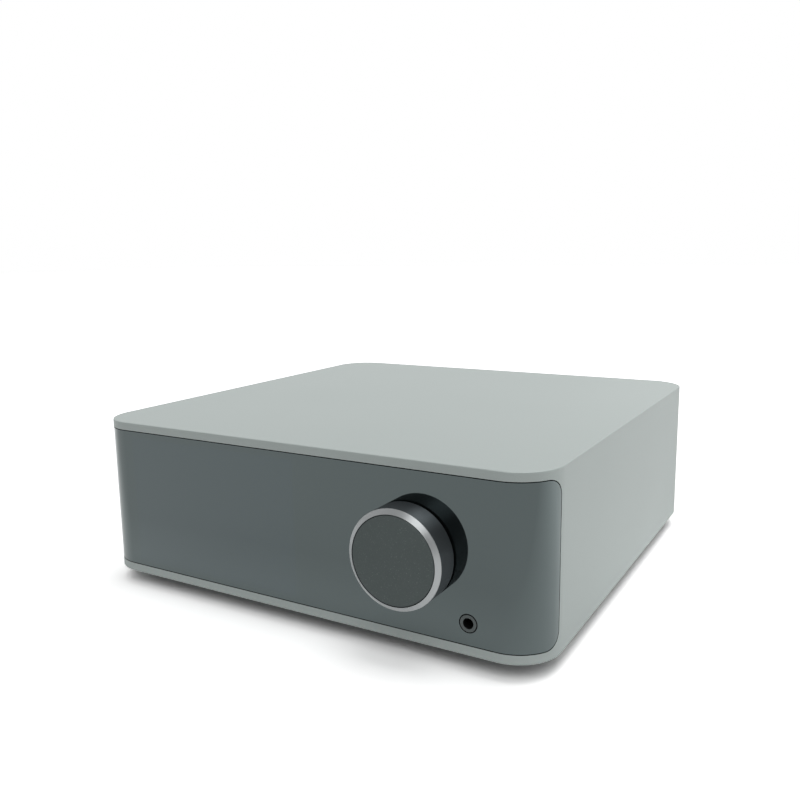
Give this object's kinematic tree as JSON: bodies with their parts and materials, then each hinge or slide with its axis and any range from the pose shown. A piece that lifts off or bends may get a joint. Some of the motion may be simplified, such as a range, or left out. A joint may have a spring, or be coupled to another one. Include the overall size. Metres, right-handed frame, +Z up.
{
  "type": "network music streamer",
  "caption": "Square low audio streamer with a wraparound black glass front, a round volume knob, a headphone socket and a rear panel of audio, video, network and mains sockets.",
  "frame": {"origin": "on the surface that the feet stand on, under the centre of the square case", "axes": "+X to the right seen from the front, +Y to the back, +Z up"},
  "size_m": [0.205, 0.227, 0.073],
  "materials": {
    "case_aluminium": "fine bead-blasted, clear anodised",
    "base_steel": "black powder coat, fine texture",
    "foot_rubber": "matt",
    "screw_steel": "black zinc plated",
    "panel_black": "black anodised, satin",
    "front_glass": "black back-printed glass, polished",
    "tape_black": "matt",
    "carrier_plastic": "moulded, fine texture",
    "display_dark": "unlit panel, bonded",
    "bracket_steel": "bright zinc plated",
    "flex_amber": "film",
    "board_laminate": "solder-masked laminate",
    "encoder_zinc": "tin plated",
    "plain_brass": "turned",
    "nickel": "nickel plated",
    "shaft_steel": "turned",
    "rotor_plastic": "moulded",
    "knob_metal": "dark anodised with a diamond-cut bevel",
    "knob_face_metal": "dark anodised, fine bead-blasted",
    "socket_plastic": "moulded, satin",
    "collar_metal": "dark plated, satin",
    "heatsink_aluminium": "extruded",
    "antenna_black": "laminate with a sleeved lead",
    "chip_plastic": "moulded",
    "can_sleeve": "shrunk sleeve",
    "ribbon_grey": "film with tinned ends",
    "ring_white": "moulded",
    "ring_red": "moulded",
    "ring_black": "moulded",
    "gold_brass": "gold plated",
    "shutter_plastic": "moulded",
    "button_plastic": "moulded, satin",
    "lead_sleeve": "silicone sleeve",
    "ferrite": "sintered",
    "coil_tape": "tape over copper wire"
  },
  "bodies": {
    "case": {"case_shell": "case_aluminium", "base_plate": "base_steel", "feet": "foot_rubber", "base_screws": "screw_steel", "small_screws": "screw_steel", "rear_panel": "panel_black", "front_glass": "front_glass", "glass_tape": "tape_black", "front_carrier": "carrier_plastic", "display_panel": "display_dark", "display_bracket": "bracket_steel", "display_flex": "flex_amber", "front_board": "board_laminate", "encoder_housing": "encoder_zinc", "encoder_bushing": "plain_brass", "encoder_nut": "nickel", "switch_dome": "bracket_steel", "headphone_jack": "socket_plastic", "headphone_collar": "collar_metal", "main_board": "board_laminate", "power_board": "board_laminate", "standoffs": "plain_brass", "processor_heatsink": "heatsink_aluminium", "wireless_module": "nickel", "antennas": "antenna_black", "board_components": "chip_plastic", "capacitors": "can_sleeve", "board_cable": "ribbon_grey", "rca_housings": "socket_plastic", "rca_barrels": "nickel", "rca_rings_white": "ring_white", "rca_rings_red": "ring_red", "rca_rings_black": "ring_black", "rca_contacts": "gold_brass", "optical_sockets": "socket_plastic", "hdmi_shell": "nickel", "hdmi_insert": "socket_plastic", "usb_shell": "nickel", "usb_insert": "ring_white", "network_socket": "socket_plastic", "trigger_jack": "socket_plastic", "power_switch": "socket_plastic", "button_spring": "shaft_steel", "ground_stud": "nickel", "mains_inlet": "socket_plastic", "mains_pins": "nickel", "mains_leads": "lead_sleeve", "transformer_core": "ferrite", "transformer_coil": "coil_tape"},
    "push_plunger": {"push_plunger": "rotor_plastic"},
    "knob": {"encoder_shaft": "shaft_steel", "knob_shell": "knob_metal", "knob_face": "knob_face_metal", "knob_hub": "rotor_plastic"},
    "encoder_rotor": {"encoder_rotor": "rotor_plastic"},
    "power_button": {"power_button": "button_plastic"},
    "optical_in_shutter": {"optical_in_shutter": "shutter_plastic"},
    "optical_out_shutter": {"optical_out_shutter": "shutter_plastic"},
    "ground_washer": {"ground_washer": "nickel"},
    "ground_nut": {"ground_nut": "nickel"}
  },
  "joints": [
    {"name": "knob_press", "type": "slide", "parent": "case", "child": "push_plunger", "axis": [0, 1, 0], "range_m": [0, 0.0004], "stiffness_N_per_m": 800, "springref_m": -0.0005, "deforming": ["switch_dome"]},
    {"name": "knob_turn", "type": "hinge", "parent": "push_plunger", "child": "knob", "pos_m": [0.0527, -0.108, 0.0403], "axis": [0, 1, 0], "continuous": true},
    {"name": "rotor_turn", "type": "hinge", "parent": "case", "child": "encoder_rotor", "pos_m": [0.0527, -0.094, 0.0403], "axis": [0, 1, 0], "continuous": true},
    {"name": "button_press", "type": "slide", "parent": "case", "child": "power_button", "axis": [0, -1, 0], "range_m": [0, 0.0008], "stiffness_N_per_m": 600, "deforming": ["button_spring"]},
    {"name": "optical_in_flap", "type": "hinge", "parent": "case", "child": "optical_in_shutter", "pos_m": [0.006, 0.0984, 0.0259], "axis": [-1, 0, 0], "range_deg": [0, 88], "stiffness_Nm_per_rad": 0.0002},
    {"name": "optical_out_flap", "type": "hinge", "parent": "case", "child": "optical_out_shutter", "pos_m": [-0.0055, 0.0984, 0.0259], "axis": [-1, 0, 0], "range_deg": [0, 88], "stiffness_Nm_per_rad": 0.0002},
    {"name": "terminal_travel", "type": "slide", "parent": "case", "child": "ground_washer", "axis": [0, 1, 0], "range_m": [0, 0.0035]},
    {"name": "terminal_turn", "type": "hinge", "parent": "ground_washer", "child": "ground_nut", "pos_m": [0.074, 0.105, 0.033], "axis": [0, 1, 0], "range_deg": [0, 1800]}
  ],
  "couplings": [
    {"joint": "rotor_turn", "follows": "knob_turn", "ratio": 1},
    {"joint": "terminal_turn", "follows": "terminal_travel", "rad_per_m": 8975.9}
  ]
}
